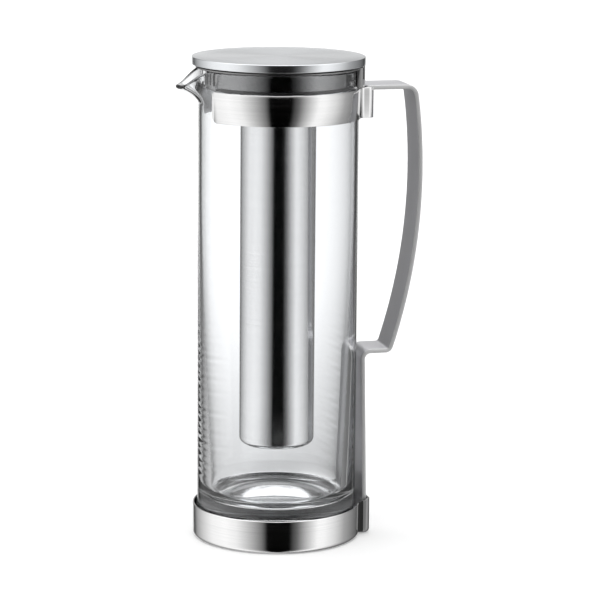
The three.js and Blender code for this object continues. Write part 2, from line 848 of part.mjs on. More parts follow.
addPiece("base_cup", baseCup(), "steel");
addPiece("base_pad", basePad(), "clearPad");
addPiece("glass_jug", glassJug(), "glass");
addPiece("neck_band", neckBand(), "steel");
addPiece("handle_bar", handleBar(), "steel");
addPiece("insert_body", insertBody(), "black");
addPiece("neck_seal", neckSeal(), "silicone");
addPiece("rim_seal", rimSeal(), "silicone");
addPiece("cooling_tube", coolingTube(), "steel");
addPiece("tube_collar", tubeCollar(), "black");
addPiece("tube_seal_ring", tubeSealRing(), "silicone");
addPiece("lid_base", lidBase(), "black");
addPiece("lid_cap", lidCap(), "steel");
addPiece("lid_gasket", lidGasket(), "silicone");
addPiece("hinge_pin", hingePin(), "steel");

export default carafe;
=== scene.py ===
# %% [markdown]
# A glass carafe with an ice tube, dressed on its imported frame.
# The frame holds every solid of the carafe at its real size, with flat facets. Steel and glass
# show each facet, so this script builds every piece again with fine curves in the same place,
# gives it a finish, and lets it ride on the same body, so that lid and insert still move.

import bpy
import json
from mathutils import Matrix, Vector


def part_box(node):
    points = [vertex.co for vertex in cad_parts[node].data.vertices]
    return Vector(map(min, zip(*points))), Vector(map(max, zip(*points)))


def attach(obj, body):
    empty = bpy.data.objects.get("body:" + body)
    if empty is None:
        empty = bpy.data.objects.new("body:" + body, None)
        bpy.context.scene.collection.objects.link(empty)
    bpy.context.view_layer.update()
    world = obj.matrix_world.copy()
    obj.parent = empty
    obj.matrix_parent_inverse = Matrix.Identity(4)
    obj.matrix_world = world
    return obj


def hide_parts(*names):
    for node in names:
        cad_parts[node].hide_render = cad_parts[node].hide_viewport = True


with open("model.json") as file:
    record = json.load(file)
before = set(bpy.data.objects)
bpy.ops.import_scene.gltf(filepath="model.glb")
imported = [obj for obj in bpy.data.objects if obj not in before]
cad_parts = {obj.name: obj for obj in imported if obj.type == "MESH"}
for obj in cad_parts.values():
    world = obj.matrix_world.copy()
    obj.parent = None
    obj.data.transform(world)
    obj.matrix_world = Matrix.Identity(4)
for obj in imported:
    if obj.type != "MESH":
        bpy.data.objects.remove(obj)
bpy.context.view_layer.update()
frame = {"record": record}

# %% [markdown]
# Blender works in metres. The sizes below are real millimetres times one factor, so that the
# numbers stay the ones that a maker would write on the drawing.

# %% Tools that the cells share
import json
import math

import bmesh
import bpy
from mathutils import Matrix, Vector

mm = 0.001
micron = 0.000001
pole = 0.02 * mm
crease_angle = 32
soft_crease_angle = 50
full_turn = 2 * math.pi
turn_steps = 180


def smooth(share):
    share = min(max(share, 0.0), 1.0)
    return share * share * (3 - 2 * share)


def blend_between(a, b, share):
    return a + (b - a) * share


def arc(centre_r, centre_z, radius, start, end, steps=8):
    """Points of an arc in a profile, from one angle to another, in degrees."""
    angles = [math.radians(blend_between(start, end, i / steps)) for i in range(steps + 1)]
    return [(centre_r + radius * math.cos(a), centre_z + radius * math.sin(a)) for a in angles]


# %% [markdown]
# Every mesh here is a row of loops with the same number of points, skinned with quads. It is
# what a lathe, a press or a bending jig gives, and it keeps the mesh closed and even.
# Edges sharper than the crease angle stay crisp, and everything softer is shaded smooth.

# %% Skin loops into a mesh
def skin(loops, close_rows=False, cap_ends=True):
    count = len(loops[0])
    points = [p for loop in loops for p in loop]
    faces = []
    rows = len(loops)
    for row in range(rows if close_rows else rows - 1):
        after = (row + 1) % rows
        for i in range(count):
            j = (i + 1) % count
            faces.append((row * count + i, row * count + j, after * count + j, after * count + i))
    if cap_ends and not close_rows:
        faces.append(tuple(reversed(range(count))))
        faces.append(tuple((rows - 1) * count + i for i in range(count)))
    return points, faces


def new_piece(name, points, faces, crease=crease_angle):
    mesh = bpy.data.meshes.new(name)
    mesh.from_pydata([Vector(p) for p in points], [], faces)
    work = bmesh.new()
    work.from_mesh(mesh)
    bmesh.ops.remove_doubles(work, verts=work.verts, dist=1e-7)
    bmesh.ops.recalc_face_normals(work, faces=work.faces)
    work.to_mesh(mesh)
    work.free()
    mesh.shade_smooth()
    mesh.set_sharp_from_angle(angle=math.radians(crease))
    piece = bpy.data.objects.new(name, mesh)
    bpy.context.scene.collection.objects.link(piece)
    return piece


def turned(name, profile, closed=True, steps=turn_steps, crease=crease_angle):
    """A piece turned on a lathe: a profile of (radius, height), run once round the axis."""
    loops = []
    for radius, height in profile:
        around = [full_turn * i / steps for i in range(steps)]
        loops.append([(radius * math.cos(a), radius * math.sin(a), height) for a in around])
    points, faces = skin(loops, close_rows=closed, cap_ends=not closed)
    return new_piece(name, points, faces, crease)


# %% [markdown]
# Holes, slots and noses are cut and joined the way a mould maker thinks: one blank, and one
# simple body for each cut. The cutter goes once its cut is in the mesh.

# %% Cut and join
cut_overrun = 2 * mm


def combine(piece, tool, operation, crease=crease_angle):
    step = piece.modifiers.new("cut", "BOOLEAN")
    step.object = tool
    step.operation = operation
    step.solver = "EXACT"
    bpy.context.view_layer.update()
    graph = bpy.context.evaluated_depsgraph_get()
    cut = bpy.data.meshes.new_from_object(piece.evaluated_get(graph))
    piece.modifiers.remove(step)
    piece.data = cut
    cut.shade_smooth()
    cut.set_sharp_from_angle(angle=math.radians(crease))
    bpy.data.objects.remove(tool)
    return piece


def box_tool(low, high, turn=0.0):
    """A plain block between two corners, turned about the axis, that only serves as a cutter."""
    corners = [(x, y, z) for z in (low[2], high[2]) for x in (low[0], high[0]) for y in (low[1], high[1])]
    faces = [(0, 1, 3, 2), (4, 6, 7, 5), (0, 4, 5, 1), (2, 3, 7, 6), (0, 2, 6, 4), (1, 5, 7, 3)]
    spin = Matrix.Rotation(turn, 3, "Z")
    return new_piece("tool", [spin @ Vector(c) for c in corners], faces)


def pin_shape(name, x, z, radius, half_length, edge=0.0, steps=32):
    """A short round bar across the carafe, along Y."""
    rings = [(radius - edge, -half_length), (radius, edge - half_length)]
    rings += [(radius, half_length - edge), (radius - edge, half_length)]
    loops = []
    for r, y in rings:
        around = [full_turn * i / steps for i in range(steps)]
        loops.append([(x + r * math.cos(a), y, z + r * math.sin(a)) for a in around])
    points, faces = skin(loops)
    return new_piece(name, points, faces)


# %% [markdown]
# Each finished piece gets its material, rides on the body of the solid that it stands for, and
# hides that solid. The print shows how far the two boxes differ, which should be well under
# half a millimetre.

# %% Dress a solid
def dress(piece, node, material):
    piece.data.materials.clear()
    piece.data.materials.append(material)
    body = next(b for b, members in frame["record"]["behaviour"]["bodies"].items() if node in members)
    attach(piece, body)
    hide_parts(node)
    low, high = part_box(node)
    points = [v.co for v in piece.data.vertices]
    mine_low = Vector([min(p[k] for p in points) for k in range(3)])
    mine_high = Vector([max(p[k] for p in points) for k in range(3)])
    pairs = [*zip(mine_low, low), *zip(mine_high, high)]
    gap = max(abs(a - b) for a, b in pairs)
    print(f"{piece.name}: rides {body}, {len(points)} points, box within {gap / mm:.2f} mm of {node}")
    return piece


# %% [markdown]
# The driving sizes, from the outside in. Heights come from the frame itself: the glass, the
# band, the lid and the bar are all where their solids are. The two far values lie beyond the
# carafe on every side.

# %% Sizes
seat_gap = 0.3 * mm
run_gap = 0.4 * mm
seal_gap = 0.1 * mm

glass_low, glass_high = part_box("glass_jug")
band_low, band_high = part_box("neck_band")
bar_low, bar_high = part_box("handle_bar")
cup_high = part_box("base_cup")[1]
cap_low, cap_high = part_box("lid_cap")
tube_low, tube_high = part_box("cooling_tube")
insert_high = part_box("insert_body")[1]

far_out, far_up = 100 * mm, 300 * mm

glass_radius = 48.0 * mm
glass_wall = 2.3 * mm
glass_bottom = glass_low.z
glass_top = glass_high.z
glass_bore = glass_radius - glass_wall
print("glass from", round(glass_bottom / mm, 2), "to", round(glass_top / mm, 2), "mm")

# %% [markdown]
# Finishes come first, because they are what one sees. A brushed steel sheet is bright metal
# with thousands of fine parallel scratches. Each scratch is far thinner than a pixel, so the
# scratches work together: they stretch every reflection across the brushing. Blender has that
# as anisotropy, turned by a tangent, and a very fine streaky noise adds the silk of the sheet.

# %% Node helpers
quarter_turn = 0.25
noise_low, noise_high = 0.3, 0.7


def add_node(tree, kind, **values):
    node = tree.nodes.new(kind)
    for key, value in values.items():
        setattr(node, key, value)
    return node


def new_material(name):
    material = bpy.data.materials.new(name)
    material.use_nodes = True
    tree = material.node_tree
    return material, tree, tree.nodes["Principled BSDF"]


def fill(tree, node, values):
    """Each value is a fixed one, or the socket that it comes from."""
    for name, value in values.items():
        if isinstance(value, bpy.types.NodeSocket):
            tree.links.new(value, node.inputs[name])
        else:
            node.inputs[name].default_value = value


def calculate(tree, operation, *values):
    node = add_node(tree, "ShaderNodeMath", operation=operation)
    fill(tree, node, dict(enumerate(values)))
    return node.outputs["Value"]


def map_range(tree, value, start, end, low, high, curve="LINEAR"):
    node = add_node(tree, "ShaderNodeMapRange", interpolation_type=curve)
    names = ("Value", "From Min", "From Max", "To Min", "To Max")
    fill(tree, node, dict(zip(names, (value, start, end, low, high))))
    return node.outputs["Result"]


def own_place(tree):
    """Where a point lies in the piece's own space."""
    return add_node(tree, "ShaderNodeTexCoord").outputs["Object"]


def split_up(tree, vector):
    node = add_node(tree, "ShaderNodeSeparateXYZ")
    fill(tree, node, {"Vector": vector})
    return [node.outputs[axis] for axis in "XYZ"]


def join_up(tree, x, y, z):
    node = add_node(tree, "ShaderNodeCombineXYZ")
    fill(tree, node, {"X": x, "Y": y, "Z": z})
    return node.outputs["Vector"]


def fine_noise(tree, place, stretch, detail=2.0):
    """Noise over a place, stretched by three factors, in cycles for each metre."""
    scale = add_node(tree, "ShaderNodeMapping")
    fill(tree, scale, {"Vector": place, "Scale": stretch})
    noise = add_node(tree, "ShaderNodeTexNoise")
    fill(tree, noise, {"Vector": scale.outputs["Vector"], "Scale": 1.0, "Detail": detail})
    return noise.outputs["Fac"]


def spread(tree, value, low, high):
    """Maps the middle of a noise to a range, as its outer parts are hardly ever reached."""
    return map_range(tree, value, noise_low, noise_high, low, high)


def tint(tree, value, dark, light):
    """A grey, a little darker or lighter with a noise."""
    mix = add_node(tree, "ShaderNodeMix", data_type="RGBA")
    fill(tree, mix, {"Factor": spread(tree, value, 0.0, 1.0), "A": (*dark, 1), "B": (*light, 1)})
    return mix.outputs["Result"]


def brush(tree, shader, amount, **direction):
    """Makes metal that stretches its reflections across the brushing."""
    tangent = add_node(tree, "ShaderNodeTangent", **direction)
    fill(tree, shader, {"Metallic": 1.0, "Anisotropic": amount})
    fill(tree, shader, {"Anisotropic Rotation": quarter_turn, "Tangent": tangent.outputs["Tangent"]})


def surface(tree, shader, colour, roughness, relief, height):
    """Gives the shader its colour, its roughness and a very low relief."""
    bump = add_node(tree, "ShaderNodeBump")
    fill(tree, bump, {"Height": relief, "Distance": height, "Strength": 1.0})
    fill(tree, shader, {"Base Color": colour, "Roughness": roughness, "Normal": bump.outputs["Normal"]})


# %% [markdown]
# The cup, the neck band and the ice tube are drawn and rolled sheet, brushed round and round.
# In the piece's own space that is a noise that changes fast with height and hardly at all
# round the axis. The streaks are stretched much further than real ones are long, which on a
# cylinder can't be told apart. Boxes in the cup's own space name the crease beside the cup's
# bump and its flank. There the steel is rougher, and its colour is painted shade: near black
# in the crease and dark grey on the flank, in place of the shade and dark reflections there.

# %% Steel brushed round a cylinder
dull_roughness = 0.45


def in_box(tree, low, high):
    """One inside the box and inside its mirror image across the XZ plane, zero elsewhere."""
    x, y, z = split_up(tree, own_place(tree))
    share = 1.0
    for value, low_end, high_end in zip((x, calculate(tree, "ABSOLUTE", y), z), low, high):
        middle, reach = (low_end + high_end) / 2, (high_end - low_end) / 2
        share = calculate(tree, "MULTIPLY", share, calculate(tree, "COMPARE", value, middle, reach))
    return share


def blend(tree, share, a, b):
    """Socket a where the share is zero, and the fixed value b where it is one."""
    kind = "RGBA" if isinstance(b, tuple) else "FLOAT"
    mix = add_node(tree, "ShaderNodeMix", data_type=kind)
    sockets = [i for i in mix.inputs if i.enabled]
    tree.links.new(share, sockets[0])
    tree.links.new(a, sockets[1])
    sockets[2].default_value = b
    return [o for o in mix.outputs if o.enabled][0]


def ring_brushed_steel(name, roughness_low, roughness_high, silk, dull_and_shaded_boxes=()):
    material, tree, shader = new_material(name)
    brush(tree, shader, 0.9, direction_type="RADIAL", axis="Z")
    streaks = fine_noise(tree, own_place(tree), (9, 9, 2600))
    colour = tint(tree, streaks, (0.84 - silk,) * 3, (0.872, 0.869, 0.868))
    roughness = spread(tree, streaks, roughness_low, roughness_high)
    # Inside each box the colour is painted shade, and the roughness is raised.
    for low, high, grey in dull_and_shaded_boxes:
        share = in_box(tree, low, high)
        colour = blend(tree, share, colour, (grey, grey, grey, 1))
        roughness = blend(tree, share, roughness, dull_roughness)
    surface(tree, shader, colour, roughness, streaks, 0.8 * micron)
    return material


sheet_steel = ring_brushed_steel("sheet steel brushed round", 0.11, 0.16, 0.03)
tube_steel = ring_brushed_steel("tube steel brushed round", 0.1, 0.14, 0.04)
dull_low, dull_high, dull_side = 1 * mm, 26 * mm, 16 * mm
crease_x, flank_x, flank_end_x = 45 * mm, 51.2 * mm, 60 * mm
crease_y, flank_y = 12.2 * mm, 10 * mm
# Painted shade: the crease is painted near black and the bump's flank dark grey.
crease_shade_grey, flank_shade_grey = 0.05, 0.34
bump_flank = ((flank_x, flank_y, dull_low), (flank_end_x, dull_side, dull_high), flank_shade_grey)
bump_crease = ((crease_x, crease_y, dull_low), (flank_x, dull_side, dull_high), crease_shade_grey)
dull_and_shaded_places = (bump_flank, bump_crease)
cup_steel = ring_brushed_steel("cup steel brushed round", 0.11, 0.16, 0.03, dull_and_shaded_places)
print("made", sheet_steel.name, tube_steel.name, cup_steel.name)

# %% [markdown]
# The lid's top is faced on a lathe, so its scratches are circles round the middle. The same
# idea as above, with the noise running over the distance from the axis instead of the height.
# The circles pull each reflection out into a wedge that starts in the middle of the lid.

# %% Steel brushed in circles
def circle_brushed_steel():
    material, tree, shader = new_material("lid steel brushed in circles")
    brush(tree, shader, 0.75, direction_type="RADIAL", axis="Z")
    x, y, z = split_up(tree, own_place(tree))
    length = add_node(tree, "ShaderNodeVectorMath", operation="LENGTH")
    fill(tree, length, {0: join_up(tree, x, y, 0.0)})
    radial = join_up(tree, length.outputs["Value"], 0.0, z)
    circles = fine_noise(tree, radial, (2400, 1, 2400))
    colour = tint(tree, circles, (0.77, 0.79, 0.81), (0.83, 0.85, 0.87))
    surface(tree, shader, colour, spread(tree, circles, 0.19, 0.26), circles, 0.6 * micron)
    return material


lid_steel = circle_brushed_steel()
print("made", lid_steel.name)

# %% [markdown]
# The handle is a flat bar, belt-brushed along its length and left matt, so it looks greyer
# than the sheet. Its scratches follow the bar round every bend. The bar gets a UV map with one
# direction along the bar, and the tangent and the streaks follow that map. Its narrow sides
# are ground bright, and a box in the bar's own space names them too.

# %% Steel brushed along a bar
def bar_brushed_steel():
    material, tree, shader = new_material("bar steel brushed along")
    brush(tree, shader, 0.6, direction_type="UV_MAP", uv_map="along_bar")
    place = add_node(tree, "ShaderNodeUVMap", uv_map="along_bar")
    grain = fine_noise(tree, place.outputs["UV"], (14, 3200, 1), 3.0)
    sides = in_box(tree, *ground_sides)
    colour = tint(tree, grain, (0.54, 0.54, 0.56), (0.63, 0.63, 0.645))
    colour = blend(tree, sides, colour, ground_colour)
    roughness = blend(tree, sides, spread(tree, grain, 0.34, 0.44), ground_roughness)
    surface(tree, shader, colour, roughness, grain, 2 * micron)
    return material


ground_depth = 0.25 * mm
ground_sides = ((-far_out, bar_high.y - ground_depth, 0), (far_out, bar_high.y + ground_depth, far_up))
ground_colour, ground_roughness = (0.95, 0.95, 0.95, 1), 0.62
bar_steel = bar_brushed_steel()
print("made", bar_steel.name)

# %% [markdown]
# Clear glass is only its surface: it bends light, mirrors a little, and lets the rest through.
# A full transmission shader with the index of bottle glass does all of that. What makes it
# look real is the shape, so the wall's thickness and the heavy foot matter more than the nodes.
# The nodes add what blown glass has: slow waves in its skin, and a breath of dust and tint.
# The underside was pressed against a mould and never polished, so it scatters the light a bit.

# %% Clear glass
underside_height = 12 * mm
underside_roughness = 0.13
moulded_underside = ((-far_out, -far_out, 0), (far_out, far_out, underside_height))


def clear_glass():
    material, tree, shader = new_material("clear glass")
    fill(tree, shader, {"IOR": 1.51, "Transmission Weight": 1.0})
    waves = fine_noise(tree, own_place(tree), (35, 35, 14), 1.0)
    dust = fine_noise(tree, own_place(tree), (260, 260, 260))
    colour = tint(tree, dust, (0.975, 0.984, 0.994), (0.979, 0.987, 0.996))
    underside = in_box(tree, *moulded_underside)
    roughness = blend(tree, underside, spread(tree, dust, 0.0, 0.02), underside_roughness)
    surface(tree, shader, colour, roughness, waves, 8 * micron)
    return material


glass = clear_glass()
print("made", glass.name)

# %% [markdown]
# The insert is injection-moulded in a polished mould: deep black, glossy, with the faint
# waviness that every moulded surface has. The seals are black silicone, matt and a little
# dusty, and the ring under the glass is milky silicone that lets light in.

# %% Moulded black, black silicone and milky silicone
def moulded_black():
    material, tree, shader = new_material("black moulded plastic")
    fill(tree, shader, {"IOR": 2.4, "Coat Weight": 1.0, "Coat Roughness": 0.03, "Coat IOR": 1.8})
    waves = fine_noise(tree, own_place(tree), (90, 90, 90), 1.0)
    grain = fine_noise(tree, own_place(tree), (900, 900, 900))
    colour = tint(tree, grain, (0.006, 0.006, 0.0065), (0.012, 0.012, 0.013))
    surface(tree, shader, colour, spread(tree, grain, 0.09, 0.16), waves, 4 * micron)
    return material


def silicone(name, dark, light, through):
    material, tree, shader = new_material(name)
    fill(tree, shader, {"Transmission Weight": through})
    dust = fine_noise(tree, own_place(tree), (1500, 1500, 1500), 3.0)
    colour = tint(tree, dust, dark, light)
    surface(tree, shader, colour, spread(tree, dust, 0.5, 0.68), dust, 4 * micron)
    return material


black_plastic = moulded_black()
black_silicone = silicone("black silicone", (0.018, 0.018, 0.019), (0.034, 0.034, 0.036), 0.0)
milky_silicone = silicone("milky silicone", (0.72, 0.74, 0.75), (0.84, 0.86, 0.87), 0.35)
print("made", black_plastic.name, black_silicone.name, milky_silicone.name)

# %% [markdown]
# The base cup is one drawn sheet of steel. Its plan is a circle with a square bump on the
# handle's side, which hides the lower end of the bar. A plan like that is a path with rounded
# corners, moved inwards by the sheet's thickness, so the helpers below round and move paths.

# %% Paths with rounded corners
def round_corners(corners, closed, steps=8):
    """Each corner is (x, y, bend radius). Gives the rounded path as (x, y) vectors."""
    path = []
    count = len(corners)
    for i, (x, y, bend) in enumerate(corners):
        here = Vector((x, y))
        if bend == 0 or (not closed and i in (0, count - 1)):
            path.append(here)
            continue
        back = (Vector(corners[i - 1][:2]) - here).normalized()
        ahead = (Vector(corners[(i + 1) % count][:2]) - here).normalized()
        half = math.acos(max(-1.0, min(1.0, back.dot(ahead)))) / 2
        centre = here + (back + ahead).normalized() * (bend / math.sin(half))
        start = here + back * (bend / math.tan(half)) - centre
        end = here + ahead * (bend / math.tan(half)) - centre
        turn = math.atan2(start.x * end.y - start.y * end.x, start.dot(end))
        for k in range(steps + 1):
            spoke = Matrix.Rotation(turn * k / steps, 2) @ start
            path.append(centre + spoke)
    return path


def moved_in(path, distance, closed):
    """Moves a counterclockwise path inwards, square to itself."""
    last = len(path) - 1
    moved = []
    for i, here in enumerate(path):
        before = path[i - 1] if i > 0 or closed else None
        after = path[(i + 1) % len(path)] if i < last or closed else None
        into = (here - before).normalized() if before is not None else (after - here).normalized()
        out = (after - here).normalized() if after is not None else into
        along = (into + out).normalized()
        normal = Vector((-along.y, along.x))
        moved.append(here + normal * (distance / along.dot(into)))
    return moved


# %% Plan of a ring with a bump
bar_thickness = 2.6 * mm
bar_half_width = bar_high.y
bump_side_room = 2.1 * mm
cup_bump = {"reach": cup_high.x, "spread": 0.15 * mm, "corner": 3.2 * mm, "crease": 0.9 * mm}
band_bump = {"reach": band_high.x, "spread": 0.7 * mm, "corner": 4.2 * mm, "crease": 3.5 * mm}


def bumped_ring(radius, bump, side_angles):
    half_width = bar_half_width + bump_side_room
    root_half_width = half_width + bump["spread"]
    root_x = math.sqrt(radius**2 - root_half_width**2)
    half = [(radius * math.cos(a), radius * math.sin(a), 0) for a in side_angles]
    half += [(root_x, root_half_width, bump["crease"]), (bump["reach"], half_width, bump["corner"])]
    return [(x, -y, bend) for x, y, bend in half] + half[::-1]


def bump_clear_angle(radius, bump):
    root_half_width = bar_half_width + bump_side_room + bump["spread"]
    return math.asin(root_half_width / radius) + bump["crease"] / radius


def even(start, end, steps):
    return [blend_between(start, end, i / steps) for i in range(steps + 1)]


# %% [markdown]
# The cup itself: the plan is swept up from a rounded bottom edge, over a rolled rim and down
# again inside. The rim is a touch higher over the bump, as on the real sheet, where the press
# had to draw the metal further out.

# %% Base cup
cup_sheet = 1.0 * mm
cup_height = 20.0 * mm
cup_edge = 3.0 * mm
cup_room = 1.8 * mm
cup_bump_rise = cup_high.z - cup_height
cup_radius = glass_radius + cup_room + cup_sheet


def make_base_cup():
    angles = even(math.pi, bump_clear_angle(cup_radius, cup_bump), 76)
    plan = round_corners(bumped_ring(cup_radius, cup_bump, angles)[1:], True)

    def loop(inset, height, lifted):
        moved = moved_in(plan, inset, True)
        run = cup_bump["reach"] - cup_bump["corner"] / 2 - cup_radius
        rises = [cup_bump_rise * smooth((p.x - cup_radius) / run) if lifted else 0.0 for p in plan]
        return [(q.x, q.y, height + rise) for q, rise in zip(moved, rises)]

    loops = [loop(cup_edge - r, z, False) for r, z in arc(0, cup_edge, cup_edge, 270, 360, 12)]
    rim = arc(cup_sheet / 2, cup_height - cup_sheet / 2, cup_sheet / 2, 180, 0, 10)
    loops += [loop(r, z, True) for r, z in rim]
    inner = arc(0, cup_edge, cup_edge - cup_sheet, 360, 270, 12)
    loops += [loop(cup_edge - r, z, False) for r, z in inner]
    points, faces = skin(loops)
    return new_piece("base_cup_drawn", points, faces)


dress(make_base_cup(), "base_cup", cup_steel)

# %% [markdown]
# A soft ring lies in the cup, so that the glass never touches steel. It is hardly seen, but a
# glow of light comes through it at the foot of the glass.

# %% Ring under the glass
pad_low, pad_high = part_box("base_pad")
pad_width = 11.0 * mm
pad_round = 0.4 * mm
pad_inset = 4.0 * mm


def rounded_ring(name, inner, outer, low, high, edge):
    """A flat ring with softened edges."""
    profile = arc(outer - edge, low + edge, edge, 270, 360, 4)
    profile += arc(outer - edge, high - edge, edge, 0, 90, 4)
    profile += arc(inner + edge, high - edge, edge, 90, 180, 4)
    profile += arc(inner + edge, low + edge, edge, 180, 270, 4)
    return turned(name, profile)


pad_outer = glass_radius - pad_inset
pad = rounded_ring("foot_ring", pad_outer - pad_width, pad_outer, pad_low.z, pad_high.z, pad_round)
dress(pad, "base_pad", milky_silicone)

# %% [markdown]
# The jug is the piece that takes the most skill. More glass gathers at the bottom than at the
# neck, so the wall grows towards the foot. The mould's halves meet under spout and handle, and
# there the glass chills in fine ripples, which show as ticks along the lower edges. The spout
# is pulled out of the hot rim. All of it is one surface: columns that stand on the cylinder
# and, at the spout, lean out to their own place on the pulled rim.

# %% Rim of the spout
spout_reach = glass_radius + 14.4 * mm
spout_throat_reach = glass_radius + 8.0 * mm
spout_throat_half_width = 8.9 * mm
spout_half_angle = math.radians(24.5)
spout_drop = 10.0 * mm
spout_flare = 21.5 * mm
spout_root_pull = 4.0 * mm
spout_throat_pull = 5.0 * mm
spout_tip_pull = 5.2 * mm
spout_throat_turn = math.radians(21)
spout_fall_power = 1.15
spout_columns = 30
fine_steps = 200


def bezier(a, b, c, d, share):
    rest = 1 - share
    return a * rest**3 + b * (3 * share * rest**2) + c * (3 * share**2 * rest) + d * share**3


def spout_rim():
    """Half of the pulled rim in plan, from its root on the cylinder to the tip, evenly spaced."""
    reach = spout_reach - glass_wall / 2
    cosine, sine = math.cos(spout_half_angle), math.sin(spout_half_angle)
    root = Vector((glass_radius * cosine, glass_radius * sine))
    root_aim = root + Vector((sine, -cosine)) * spout_root_pull
    throat = Vector((spout_throat_reach, spout_throat_half_width))
    run = Vector((math.cos(spout_throat_turn), -math.sin(spout_throat_turn)))
    before = throat - run * spout_throat_pull
    after = throat + run * (spout_throat_pull / 2)
    tip = Vector((reach, 0))
    tip_aim = Vector((reach, spout_tip_pull))
    fine = [bezier(root, root_aim, before, throat, share) for share in even(0, 1, fine_steps)[:-1]]
    fine += [bezier(throat, after, tip_aim, tip, share) for share in even(0, 1, fine_steps)]
    lengths = [0.0]
    for a, b in zip(fine, fine[1:]):
        lengths.append(lengths[-1] + (b - a).length)
    spaced = []
    for k in range(spout_columns + 1):
        wanted = lengths[-1] * k / spout_columns
        i = min(max(sum(1 for x in lengths if x <= wanted) - 1, 0), len(fine) - 2)
        share = (wanted - lengths[i]) / (lengths[i + 1] - lengths[i])
        spaced.append(fine[i].lerp(fine[i + 1], min(share, 1.0)))
    return spaced


# %% Inside of the jug
floor_top = glass_bottom + 20.3 * mm
floor_corner = 10.5 * mm
growth_top = glass_bottom + 202 * mm
foot_growth = 5.4 * mm
growth_power = 1.6
ripple_height = 0.038 * mm
ripple_top = 150 * mm
ripple_fade, ripple_start = 70 * mm, 12 * mm
long_wave, short_wave = 1.05 * mm, 0.66 * mm
first_swell, second_swell = 4.3 * mm, 7.9 * mm
seam_power = 12


def wall_at(z):
    """Wall thickness at a height: even in the upper part, and growing towards the foot."""
    low = floor_top + floor_corner
    share = max((growth_top - z) / (growth_top - low), 0.0)
    return glass_wall + foot_growth * share**growth_power


def ripple(z, angle):
    """The ripples inside, strongest low down and where the mould's halves meet."""
    strength = smooth((ripple_top - z) / ripple_fade) * smooth((z - floor_top) / ripple_start)
    waves = math.sin(z / long_wave + 3 * math.sin(3 * angle))
    waves += 0.7 * math.sin(z / short_wave + 4 * math.cos(2 * angle))
    swell = 0.7 + 0.5 * math.sin(z / first_swell) * math.sin(z / second_swell)
    return ripple_height * strength * swell * math.cos(angle) ** seam_power * waves


# %% The jug's one surface
glass_heel = 4.0 * mm
glass_foot_width = 25.0 * mm
punt_rise = 1.6 * mm
floor_crown = 4.5 * mm
jug_columns = 150
pole_share = 0.06


def columns_of_jug():
    rim = spout_rim()
    root_x = rim[0].x
    columns = []
    for i in range(-spout_columns, spout_columns + 1):
        angle = spout_half_angle * i / spout_columns
        place = rim[spout_columns - abs(i)]
        out_share = (place.x - root_x) / (spout_reach - glass_wall / 2 - root_x)
        fall = spout_drop * smooth(max(out_share, 0.0) ** spout_fall_power)
        foot = Vector((-glass_radius * math.cos(angle), -glass_radius * math.sin(angle)))
        side = (i > 0) - (i < 0)
        columns.append((foot, Vector((-place.x, -side * place.y)), fall))
    start, end = math.pi + spout_half_angle, 3 * math.pi - spout_half_angle
    for angle in even(start, end, jug_columns)[1:-1]:
        foot = Vector((glass_radius * math.cos(angle), glass_radius * math.sin(angle)))
        columns.append((foot, foot, 0.0))
    return columns


def make_jug():
    columns = columns_of_jug()
    count = len(columns)
    flare_start = glass_top - spout_flare
    rim_row = glass_top - glass_wall / 2
    shares = even(0, 1, 22)
    outer = []
    for share in shares:
        row = []
        for foot, rim, fall in columns:
            plan = foot.lerp(rim, share**2)
            row.append(Vector((plan.x, plan.y, blend_between(flare_start, rim_row - fall, share))))
        outer.append(row)
    rows = len(outer)

    def along(row, i):
        return (outer[min(row + 1, rows - 1)][i] - outer[max(row - 1, 0)][i]).normalized()

    def out_from(row, i):
        across = (outer[row][(i + 1) % count] - outer[row][i - 1]).normalized()
        return across.cross(along(row, i)).normalized()

    inner = []
    for row, loop in enumerate(outer):
        inner.append([p - out_from(row, i) * glass_wall for i, p in enumerate(loop)])
    lip = []
    for angle in (math.radians(a) for a in range(20, 180, 20)):
        loop = []
        for i, p in enumerate(outer[-1]):
            out = out_from(rows - 1, i)
            middle = p - out * (glass_wall / 2) + out * (glass_wall / 2 * math.cos(angle))
            loop.append(middle + along(rows - 1, i) * (glass_wall / 2 * math.sin(angle)))
        lip.append(loop)

    def ring(radius, height, wavy=False):
        loop = []
        for foot, _, _ in columns:
            extra = ripple(height, math.atan2(foot.y, foot.x)) if wavy else 0.0
            out = foot.normalized() * (radius + extra)
            loop.append(Vector((out.x, out.y, height)))
        return loop

    foot_inner = glass_radius - glass_heel - glass_foot_width
    punt = [(foot_inner * s, glass_bottom + punt_rise * (1 - s**2)) for s in even(pole_share, 1, 14)]
    heel = arc(glass_radius - glass_heel, glass_bottom + glass_heel, glass_heel, 270, 360, 12)
    body_low, body_high = heel[-1][1], flare_start
    body = [(glass_radius, z) for z in even(body_low, body_high, 24)[1:-1]]
    wall_low = floor_top + floor_corner
    wall_heights = even(flare_start, ripple_top, 24)[1:] + even(ripple_top, wall_low, 260)[1:]
    lean = math.degrees(math.atan(growth_power * foot_growth / (growth_top - wall_low)))
    corner_r = glass_radius - wall_at(wall_low) - floor_corner
    corner = arc(corner_r, wall_low, floor_corner, -lean, -90, 16)[1:]
    crown = [(corner_r * s, floor_top + floor_crown * (1 - s**2)) for s in even(1, pole_share, 14)[1:]]
    loops = [ring(r, z) for r, z in punt + heel + body]
    loops += outer + lip + inner[::-1]
    loops += [ring(glass_radius - wall_at(z), z, True) for z in wall_heights]
    loops += [ring(r, z) for r, z in corner + crown]
    points, faces = skin(loops)
    return new_piece("jug_with_pulled_spout", points, faces, soft_crease_angle)


dress(make_jug(), "glass_jug", glass)

# %% [markdown]
# The neck band is a strap of thin steel bent round the glass and clamped there. It stops short
# on both sides of the spout, and its ends have one large and one small rounded corner. It is
# swept as one section along its plan, and near the ends the section gets lower, which rounds
# the corners. The notch lets the handle's bar out over the bump.

